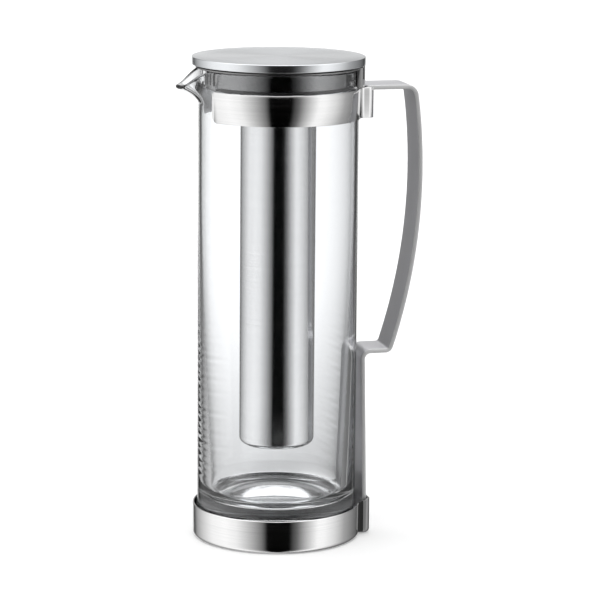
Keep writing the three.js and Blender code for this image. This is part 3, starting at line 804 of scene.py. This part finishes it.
# %% Neck band
band_sheet = 0.8 * mm
band_lower_round = 4.7 * mm
band_upper_round = 1.5 * mm
band_radius = glass_radius + run_gap + band_sheet
bar_top = bar_high.z
band_edge = 0.15 * mm
notch_floor = bar_top - bar_thickness - seat_gap
notch_margin = 0.5 * mm
notch_clear = 2.5 * mm


def make_neck_band():
    end_angle = math.pi - spout_half_angle
    runs = [band_lower_round * (1 - math.cos(math.radians(a))) for a in even(0, 90, 14)]
    end_angles = [end_angle - run / band_radius for run in runs]
    plain = even(end_angles[-1], bump_clear_angle(band_radius, band_bump), 70)
    outer = round_corners(bumped_ring(band_radius, band_bump, end_angles + plain[1:]), False)
    inner = moved_in(outer, band_sheet, False)

    def rounded_off(run, radius):
        left = max(radius - run, 0)
        return radius - math.sqrt(radius**2 - left**2)

    loops = []
    for i, (p, q) in enumerate(zip(outer, inner)):
        from_end = min(i, len(outer) - 1 - i)
        run = runs[from_end] if from_end < len(runs) else band_lower_round
        top = band_high.z - rounded_off(run, band_upper_round)
        bottom = band_low.z + rounded_off(run, band_lower_round)
        a, b = p.lerp(q, band_edge / band_sheet), q.lerp(p, band_edge / band_sheet)
        row = notch_floor - notch_margin
        loops.append(
            [
                (p.x, p.y, top - band_edge),
                (p.x, p.y, row),
                (p.x, p.y, bottom + band_edge),
                (a.x, a.y, bottom),
                (b.x, b.y, bottom),
                (q.x, q.y, bottom + band_edge),
                (q.x, q.y, row),
                (q.x, q.y, top - band_edge),
                (b.x, b.y, top),
                (a.x, a.y, top),
            ]
        )
    points, faces = skin(loops)
    band = new_piece("neck_band_strap", points, faces, soft_crease_angle)
    notch_half = bar_half_width + seat_gap
    notch_start = glass_radius + notch_clear
    notch_end = band_bump["reach"] + cut_overrun
    notch = box_tool((notch_start, -notch_half, notch_floor), (notch_end, notch_half, bar_top))
    return combine(band, notch, "DIFFERENCE", soft_crease_angle)


dress(make_neck_band(), "neck_band", sheet_steel)

# %% [markdown]
# The handle is one flat bar, bent in a jig: down behind the band, out over it, round into a
# gently bowed grip, back to the glass and down into the cup. Its middle line is drawn in the
# mirror plane, and a section with softened edges is swept along it. The narrow sides are
# crowned by a tenth of a millimetre, as rolled bar is, so the light runs softly over them.

# %% Handle line
tail_gap = 1.2 * mm
tail_slant = 2.1 * mm
tail_x = glass_radius + tail_gap + bar_thickness / 2
tail_foot_x = tail_x + tail_slant
handle_span = 160.0 * mm
grip_apex_drop = 52.2 * mm
foot_run_share = 0.4845
bend_tuck = 2.8 * mm
bend_shoulder = 6.1 * mm
bend_heel = 3.4 * mm
bend_knee = 4.8 * mm
upper_tail = 16.0 * mm
bar_edge = 0.4 * mm
bar_crown = 0.1 * mm
crown_share = 0.7


def handle_line():
    grip_x = bar_high.x - bar_thickness / 2
    apex_z = bar_top - grip_apex_drop
    top_z = bar_top - bar_thickness / 2
    foot_z = top_z - handle_span
    bow = (grip_x - tail_x) * (1 - foot_run_share)
    grip_radius = ((apex_z - foot_z) ** 2 + bow**2) / (2 * bow)

    def grip_at(z):
        return grip_x - grip_radius + math.sqrt(grip_radius**2 - (z - apex_z) ** 2)

    grip = [(grip_at(z), z, 0) for z in even(top_z - 2 * bend_shoulder, foot_z + 2 * bend_heel, 60)]
    corners = [(tail_x, top_z - upper_tail, 0), (tail_x, top_z, bend_tuck)]
    corners += [(grip_at(top_z), top_z, bend_shoulder), *grip, (grip_at(foot_z), foot_z, bend_heel)]
    corners += [(tail_x, foot_z, bend_knee), (tail_foot_x, bar_low.z, 0)]
    print("grip radius", round(grip_radius / mm, 1), "mm")
    return round_corners(corners, False, 12)


# %% Handle bar
def make_handle():
    line = handle_line()
    half = bar_thickness / 2
    flat = half - bar_edge
    side = bar_half_width - bar_crown - bar_edge
    section = []
    for cx, cy, start in ((1, 1, 0), (-1, 1, 90), (-1, -1, 180), (1, -1, 270)):
        section += arc(cx * flat, cy * side, bar_edge, start, start + 90, 4)
        if cx == cy:
            crown = even(flat * crown_share * cx, -flat * crown_share * cx, 5)
            section += [(u, cy * (bar_half_width - bar_crown * (u / flat) ** 2)) for u in crown]
    loops, runs = [], [0.0]
    for i, here in enumerate(line):
        before, after = line[max(i - 1, 0)], line[min(i + 1, len(line) - 1)]
        along = (after - before).normalized()
        normal = Vector((along.y, -along.x))
        loops.append([(here.x + normal.x * u, v, here.y + normal.y * u) for u, v in section])
        if i:
            runs.append(runs[-1] + (here - line[i - 1]).length)
    points, faces = skin(loops)
    bar = new_piece("flat_bar_handle", points, faces)
    count = len(section)
    layer = bar.data.uv_layers.new(name="along_bar")
    for corner in bar.data.loops:
        row, place = divmod(corner.vertex_index, count)
        u, v = section[place]
        layer.data[corner.index].uv = (runs[row], v + u)
    return bar


dress(make_handle(), "handle_bar", bar_steel)

# %% [markdown]
# The ice tube is deep-drawn like a tall cup, closed below, with a soft corner at the bottom
# and a lip at the top that hangs in the insert. Through the glass it is the brightest thing in
# the jug, so it is turned with plenty of steps.

# %% Ice tube
tube_radius = 22.8 * mm
tube_wall = 0.8 * mm
tube_corner = 4.0 * mm
tube_lip_width = 2.9 * mm
tube_lip_radius = tube_radius + tube_lip_width
tube_flare_width, tube_flare_height = 0.3 * mm, 0.5 * mm


def make_tube():
    low, top = tube_low.z, tube_high.z
    bore = tube_radius - tube_wall
    centre_r = tube_radius - tube_corner
    profile = [(pole, low), *arc(centre_r, low + tube_corner, tube_corner, 270, 360, 12)]
    profile += [(tube_radius, top - tube_wall - tube_flare_height)]
    profile += [(tube_radius + tube_flare_width, top - tube_wall)]
    profile += [*arc(tube_lip_radius - tube_wall / 2, top - tube_wall / 2, tube_wall / 2, 270, 450, 8)]
    profile += [*arc(bore + tube_wall, top - tube_wall, tube_wall, 90, 180, 6)]
    profile += [*arc(centre_r, low + tube_corner, tube_corner - tube_wall, 360, 270, 12)]
    profile += [(pole, low + tube_wall)]
    return turned("ice_tube", profile, closed=False)


dress(make_tube(), "cooling_tube", tube_steel)

# %% [markdown]
# The insert is one black moulding that closes the neck: a flange on the rim of the glass, a
# flat deck, a skirt with a row of pouring slots towards the spout, a sleeve for the tube and,
# outside the glass over the handle, the block that holds the lid's pin. It is turned first,
# then the block is joined, and the slots, the hinge gap and the pin's bore are cut.

# %% Levels of the insert
skirt_room = 2.3 * mm
skirt_wall = 2.0 * mm
skirt_depth = 11.6 * mm
deck_thickness = 2.0 * mm
flange_overhang = 1.6 * mm
sleeve_wall = 2.0 * mm
sleeve_depth = 7.2 * mm
seal_foot = 0.5 * mm
insert_edge = 0.3 * mm
flange_low = glass_top + seat_gap
flange_top = insert_high.z
flange_radius = glass_radius + flange_overhang
skirt_radius = glass_bore - skirt_room
skirt_bore = skirt_radius - skirt_wall
skirt_low = glass_top - skirt_depth
deck_low = flange_top - deck_thickness
sleeve_bore = tube_radius + run_gap
sleeve_radius = sleeve_bore + sleeve_wall
sleeve_low = deck_low - sleeve_depth
seal_z = skirt_low + seal_foot
seal_height = 1.4 * mm
seal_depth = 1.0 * mm
rim_middle = glass_radius - glass_wall / 2
rim_seal_width = 1.4 * mm
rim_seal_height = 0.7 * mm
lip_seat = tube_wall + seat_gap
lid_lift = 0.5 * mm
lid_low = flange_top + lid_lift
tongue_half = 1.6 * mm
tongue_half_width = 4.9 * mm
hinge_x = glass_radius + run_gap + tongue_half
hinge_drop = 6.5 * mm
hinge_gap_reach = 6 * mm
hinge_z = lid_low - hinge_drop
pin_radius = 0.8 * mm
pin_clear = 0.2 * mm
pin_grip = 2.5 * mm
pin_half_length = tongue_half_width + pin_grip
print("hinge axis at x", round(hinge_x / mm, 1), "z", round(hinge_z / mm, 1), "mm")

# %% Hinge block
block_half_width = bar_half_width + 12.5 * mm
block_skin = 1.5 * mm
block_round = 0.8 * mm
block_low = bar_top + seat_gap


def make_hinge_block():
    inner, outer = glass_radius + run_gap, hinge_x + block_skin
    a, b = math.asin(block_half_width / inner), math.asin(block_half_width / outer)
    plan = [(inner * math.cos(t), inner * math.sin(t)) for t in even(a, -a, 24)]
    soft = block_round / outer
    plan += [(outer * math.cos(b) - block_round, -block_half_width)]
    plan += [(outer * math.cos(t), outer * math.sin(t)) for t in even(-b + soft, b - soft, 24)]
    plan += [(outer * math.cos(b) - block_round, block_half_width)]
    loops = [[(x, y, z) for x, y in plan] for z in (block_low, flange_top)]
    points, faces = skin(loops)
    return new_piece("tool", points, faces)


# %% Neck insert
slot_count = 7
slot_width = 2.2 * mm
slot_pitch = math.radians(6.2)
slot_margin = 0.9 * mm


def make_insert():
    groove_r = skirt_radius - seal_depth - seal_gap
    groove_top = seal_z + seal_height + seal_gap
    rim_half = rim_seal_width / 2 + seal_gap
    rim_top = glass_top + 2 * seal_gap + rim_seal_height
    lip_r = tube_lip_radius + seat_gap
    edge = insert_edge
    profile = [
        (sleeve_bore, sleeve_low),
        (sleeve_radius, sleeve_low),
        (sleeve_radius, deck_low),
        (skirt_bore, deck_low),
        (skirt_bore, skirt_low),
        (skirt_radius, skirt_low),
        (skirt_radius, seal_z - seal_gap),
        (groove_r, seal_z - seal_gap),
        (groove_r, groove_top),
        (skirt_radius, groove_top),
        (skirt_radius, flange_low),
        (rim_middle - rim_half, flange_low),
        (rim_middle - rim_half, rim_top),
        (rim_middle + rim_half, rim_top),
        (rim_middle + rim_half, flange_low),
        (flange_radius - edge, flange_low),
        (flange_radius, flange_low + edge),
        (flange_radius, flange_top - edge),
        (flange_radius - edge, flange_top),
        (lip_r, flange_top),
        (lip_r, flange_top - lip_seat),
        (sleeve_bore, flange_top - lip_seat),
    ]
    body = turned("neck_insert", profile)
    body = combine(body, make_hinge_block(), "UNION")
    slot_low, slot_high = groove_top + slot_margin, deck_low - slot_margin
    for i in range(slot_count):
        turn = slot_pitch * (i - (slot_count - 1) / 2)
        slot = box_tool(
            (-skirt_radius - cut_overrun, -slot_width / 2, slot_low),
            (-skirt_bore + cut_overrun, slot_width / 2, slot_high),
            turn,
        )
        body = combine(body, slot, "DIFFERENCE")
    gap_half = tongue_half_width + run_gap
    hinge_gap = box_tool(
        (glass_radius, -gap_half, hinge_z - tongue_half - run_gap),
        (hinge_x + hinge_gap_reach, gap_half, flange_top + cut_overrun),
    )
    body = combine(body, hinge_gap, "DIFFERENCE")
    bore = pin_shape("tool", hinge_x, hinge_z, pin_radius + pin_clear, pin_half_length + seat_gap)
    return combine(body, bore, "DIFFERENCE")


dress(make_insert(), "insert_body", black_plastic)

# %% [markdown]
# Three soft seals keep the drink in. One sits in a groove of the skirt and is open where the
# drink runs to the spout, one lies between flange and rim, and one is squeezed by the collar
# nut round the tube.

# %% Seals and collar of the insert
neck_seal_edge = 0.35 * mm
rim_seal_edge = 0.2 * mm


def make_neck_seal():
    inner, outer = skirt_radius - seal_depth, glass_bore - seat_gap
    end = math.pi - spout_half_angle
    edge = neck_seal_edge
    section = arc(outer - edge, seal_z + edge, edge, 270, 360, 3)
    section += arc(outer - edge, seal_z + seal_height - edge, edge, 0, 90, 3)
    section += [(inner, seal_z + seal_height), (inner, seal_z)]
    angles = even(-end, end, 150)
    loops = [[(r * math.cos(a), r * math.sin(a), z) for r, z in section] for a in angles]
    points, faces = skin(loops)
    return new_piece("neck_lip_seal", points, faces)


dress(make_neck_seal(), "neck_seal", black_silicone)

rim_ring = rounded_ring(
    "rim_ring_seal",
    rim_middle - rim_seal_width / 2,
    rim_middle + rim_seal_width / 2,
    glass_top + seal_gap,
    glass_top + seal_gap + rim_seal_height,
    rim_seal_edge,
)
dress(rim_ring, "rim_seal", black_silicone)

ring_section = 1.1 * mm
ring_z = sleeve_low - ring_section - seal_gap
ring_profile = arc(sleeve_bore + ring_section, ring_z, ring_section - seal_gap, 0, 345, 23)
round_ring = turned("tube_round_ring", ring_profile)
dress(round_ring, "tube_seal_ring", black_silicone)


collar_floor = 1.2 * mm
collar_wall = 2.1 * mm
collar_height = 7.8 * mm
collar_edge = 0.5 * mm


def make_collar():
    shoulder = ring_z - ring_section - seal_gap
    low = shoulder - collar_floor
    bore = sleeve_radius + seat_gap
    outer = bore + collar_wall
    top = low + collar_height
    edge = collar_edge
    profile = [(sleeve_bore, low), *arc(outer - edge, low + edge, edge, 270, 360, 5)]
    profile += [*arc(outer - edge, top - edge, edge, 0, 90, 5), (bore, top), (bore, shoulder)]
    return turned("tube_collar_nut", [*profile, (sleeve_bore, shoulder)])


dress(make_collar(), "tube_collar", black_plastic)

# %% [markdown]
# The lid is a flat steel cap pressed over a black disc. The disc carries a tongue that reaches
# down into the hinge block, and a ring that closes the mouth of the ice tube. The cap has a
# crisp straight rim with a fine rolled edge, which catches a thin line of light.

# %% Lid
cap_overhang = 3.7 * mm
cap_radius = glass_radius + cap_overhang
cap_sheet = 0.8 * mm
cap_edge = 0.5 * mm
cap_bore = cap_radius - cap_sheet
lid_lip = 0.3 * mm
pan_depth = 1.5 * mm
pan_inset = 2.8 * mm
pan_radius = tube_radius - pan_inset
gasket_room = 5.3 * mm
gasket_radius = tube_lip_radius + gasket_room
gasket_width = 2.4 * mm
gasket_height = 1.4 * mm
gasket_edge = 0.25 * mm
cap_rim_edge = 0.25 * mm
cap_top_rings = (40 * mm, 25 * mm, 12 * mm, 5 * mm)
pin_edge = 0.15 * mm


def make_cap():
    low, top = cap_low.z, cap_high.z
    edge = cap_rim_edge
    profile = [(pole, top - cap_sheet), (cap_bore, top - cap_sheet), (cap_bore, low + edge)]
    profile += [*arc(cap_bore + edge, low + edge, edge, 180, 270, 3)]
    profile += [*arc(cap_radius - edge, low + edge, edge, 270, 360, 3)]
    profile += [*arc(cap_radius - cap_edge, top - cap_edge, cap_edge, 0, 90, 6)]
    profile += [(r, top) for r in (*cap_top_rings, pole)]
    return turned("lid_plate", profile, closed=False, steps=240)


dress(make_cap(), "lid_cap", lid_steel)


def make_lid_disc():
    radius = cap_bore - seat_gap
    top = cap_high.z - cap_sheet - seat_gap
    groove_in = gasket_radius - gasket_width / 2 - seal_gap
    groove_out = gasket_radius + gasket_width / 2 + seal_gap
    groove_top = lid_low - lid_lift / 2 + gasket_height + seal_gap
    profile = [
        (pole, lid_low + pan_depth),
        (pan_radius, lid_low + pan_depth),
        (pan_radius + pan_depth, lid_low),
        (groove_in, lid_low),
        (groove_in, groove_top),
        (groove_out, groove_top),
        (groove_out, lid_low),
        (radius - lid_lip, lid_low),
        (radius, lid_low + lid_lip),
        (radius, top),
        (pole, top),
    ]
    disc = turned("lid_disc", profile, closed=False)
    reach = lid_low + pan_depth
    side = [(hinge_x + tongue_half, lid_low), (radius, lid_low)]
    side += [(radius, reach), (hinge_x - tongue_half, reach)]
    side += arc(hinge_x, hinge_z, tongue_half, 180, 360, 16)
    loops = [[(x, y, z) for x, z in side] for y in (-tongue_half_width, tongue_half_width)]
    points, faces = skin(loops)
    disc = combine(disc, new_piece("tool", points, faces), "UNION")
    bore = pin_shape("tool", hinge_x, hinge_z, pin_radius + pin_clear, tongue_half_width + cut_overrun)
    return combine(disc, bore, "DIFFERENCE")


dress(make_lid_disc(), "lid_base", black_plastic)

gasket_low = lid_low - lid_lift / 2
gasket = rounded_ring(
    "lid_ring_seal",
    gasket_radius - gasket_width / 2,
    gasket_radius + gasket_width / 2,
    gasket_low,
    gasket_low + gasket_height,
    gasket_edge,
)
dress(gasket, "lid_gasket", black_silicone)

pin = pin_shape("hinge_pin_polished", hinge_x, hinge_z, pin_radius, pin_half_length, pin_edge)
dress(pin, "hinge_pin", sheet_steel)

# %% [markdown]
# The photograph was taken from a little above, from far away with a long lens. The camera
# stands in the part's own frame, turned so that the handle points to the right and slightly
# away. Its distance, height and lens were worked out from the ellipses of lid, band and cup.

# %% Camera
handle_turn = math.radians(13.5)
camera_place = Vector((-1.1, -1744.0, 479.4)) * mm
camera_yaw = 0.0085
camera_pitch = 0.1898
camera_roll = 0.0076
focal_pixels = 2951.9
frame_pixels = 600


def make_camera():
    data = bpy.data.cameras.new("camera")
    data.sensor_width = 36.0
    data.lens = focal_pixels / frame_pixels * data.sensor_width
    data.clip_start, data.clip_end = 0.1, 60.0
    camera = bpy.data.objects.new("camera", data)
    bpy.context.scene.collection.objects.link(camera)
    turn = Matrix.Rotation(-handle_turn, 4, "Z")
    aim = Matrix.Rotation(-camera_yaw, 4, "Z") @ Matrix.Rotation(math.pi / 2 - camera_pitch, 4, "X")
    aim = aim @ Matrix.Rotation(camera_roll, 4, "Z")
    camera.matrix_world = turn @ Matrix.Translation(camera_place) @ aim
    bpy.context.scene.camera = camera
    return camera


camera = make_camera()
print("lens", round(camera.data.lens, 1), "mm at", [round(x, 3) for x in camera.matrix_world.translation])

# %% [markdown]
# Steel and glass only look like steel and glass when they have something to mirror. The studio
# is a ring of large soft lights with a dark gap behind the camera: the gap is the black stripe
# down the middle of the steel. The lights are painted on the sky as a soft band of brightness
# over the direction, which gives no noise and no hard shadow. Each stop is a direction in
# degrees, a brightness, and how far that part of the ring dims towards the floor and towards
# the ceiling, which greys the glass towards its foot. A broad light overhead brightens the
# floor.

# %% Studio light
light_stops = [
    (-180, 1.25, 1.0),
    (-170, 1.22, 1.0),
    (-164, 1.0, 0.9),
    (-159, 0.5, 0.6),
    (-155, 0.06, 0.1),
    (-149, 0.1, 0.0),
    (-144, 0.27, 0.0),
    (-136, 0.43, 0.0),
    (-126, 0.6, 0.0),
    (-117, 0.75, 0.0),
    (-98, 1.05, 0.0),
    (-74, 1.15, 0.0),
    (-56, 1.02, 0.0),
    (-19, 0.2, 0.0),
    (-12, 0.0, 0.0),
    (19, 0.0, 0.0),
    (30, 0.16, 0.0),
    (60, 1.12, 0.0),
    (70, 1.1, 0.0),
    (88, 0.83, 0.0),
    (108, 0.42, 0.0),
    (122, 0.3, 0.0),
    (135, 0.2, 0.0),
    (148, 0.12, 0.0),
    (155, 0.02, 0.0),
    (160, 0.1, 0.3),
    (164, 0.45, 0.7),
    (170, 0.75, 0.9),
    (176, 1.0, 1.0),
    (180, 1.25, 1.0),
]
fade_low, fade_high = -0.325, -0.2
fade_depth = 0.44
lift_low, lift_high = 0.0, 0.14
lift_depth = 0.52
overhead_strength = 1.75
overhead_start, overhead_full = 0.45, 0.8


def make_studio():
    world = bpy.data.worlds.new("studio")
    bpy.context.scene.world = world
    world.use_nodes = True
    tree = world.node_tree
    tree.nodes.clear()
    place = add_node(tree, "ShaderNodeTexCoord")
    spin = add_node(tree, "ShaderNodeMapping", vector_type="POINT")
    turn = (0, 0, math.pi / 2 + handle_turn)
    fill(tree, spin, {"Vector": place.outputs["Generated"], "Rotation": turn})
    x, y, z = split_up(tree, spin.outputs["Vector"])
    ring = add_node(tree, "ShaderNodeValToRGB")
    ring.color_ramp.interpolation = "LINEAR"
    stops = ring.color_ramp.elements
    brightest = max(value for _, value, _ in light_stops)
    stops[0].position, stops[1].position = 0.0, 1.0
    for degrees, _, _ in light_stops[1:-1]:
        stops.new((degrees + 180) / 360)
    for stop, (_, value, behind) in zip(stops, light_stops):
        level = value / brightest
        stop.color = (level, level, level, behind)
    angle = calculate(tree, "ARCTAN2", y, x)
    fill(tree, ring, {"Fac": map_range(tree, angle, -math.pi, math.pi, 0.0, 1.0)})
    fade = map_range(tree, z, fade_low, fade_high, fade_depth, 0.0, "SMOOTHSTEP")
    lift = map_range(tree, z, lift_low, lift_high, 0.0, lift_depth, "SMOOTHSTEP")
    dim = calculate(tree, "MULTIPLY", calculate(tree, "ADD", fade, lift), ring.outputs["Alpha"])
    left = calculate(tree, "MULTIPLY_ADD", dim, -brightest, brightest)
    around = add_node(tree, "ShaderNodeVectorMath", operation="SCALE")
    fill(tree, around, {0: ring.outputs["Color"], "Scale": left})
    above = map_range(tree, z, overhead_start, overhead_full, 0.0, 1.0, "SMOOTHSTEP")
    overhead = (overhead_strength,) * 3 + (1,)
    mix = add_node(tree, "ShaderNodeMix", data_type="RGBA")
    fill(tree, mix, {"Factor": above, "A": around.outputs["Vector"], "B": overhead})
    path = add_node(tree, "ShaderNodeLightPath")
    seen = add_node(tree, "ShaderNodeMix", data_type="RGBA")
    fill(tree, seen, {"Factor": path.outputs["Is Camera Ray"], "A": mix.outputs["Result"]})
    fill(tree, seen, {"B": (1, 1, 1, 1)})
    light = add_node(tree, "ShaderNodeBackground")
    fill(tree, light, {"Color": seen.outputs["Result"]})
    out = add_node(tree, "ShaderNodeOutputWorld")
    fill(tree, out, {"Surface": light.outputs["Background"]})
    return len(stops)


print("studio light with", make_studio(), "stops")

# %% [markdown]
# The carafe stands on a plain white floor. The floor takes the soft shadow at the foot, and it
# is kept out of mirrors and glass, so that the steel shows the lights down to its lower edge.

# %% Floor
floor_half_width = 20.0


def make_floor():
    half = floor_half_width
    corners = [(-half, -half, 0), (half, -half, 0), (half, half, 0), (-half, half, 0)]
    mesh = bpy.data.meshes.new("floor")
    mesh.from_pydata(corners, [], [(0, 1, 2, 3)])
    floor = bpy.data.objects.new("floor", mesh)
    bpy.context.scene.collection.objects.link(floor)
    material, tree, shader = new_material("plain floor")
    fill(tree, shader, {"Base Color": (0.98, 0.98, 0.98, 1), "Roughness": 0.9})
    fill(tree, shader, {"Specular IOR Level": 0.0})
    mesh.materials.append(material)
    floor.visible_glossy = False
    floor.visible_transmission = False
    return floor


make_floor()
bpy.context.scene.view_settings.view_transform = "Standard"
print("floor made")
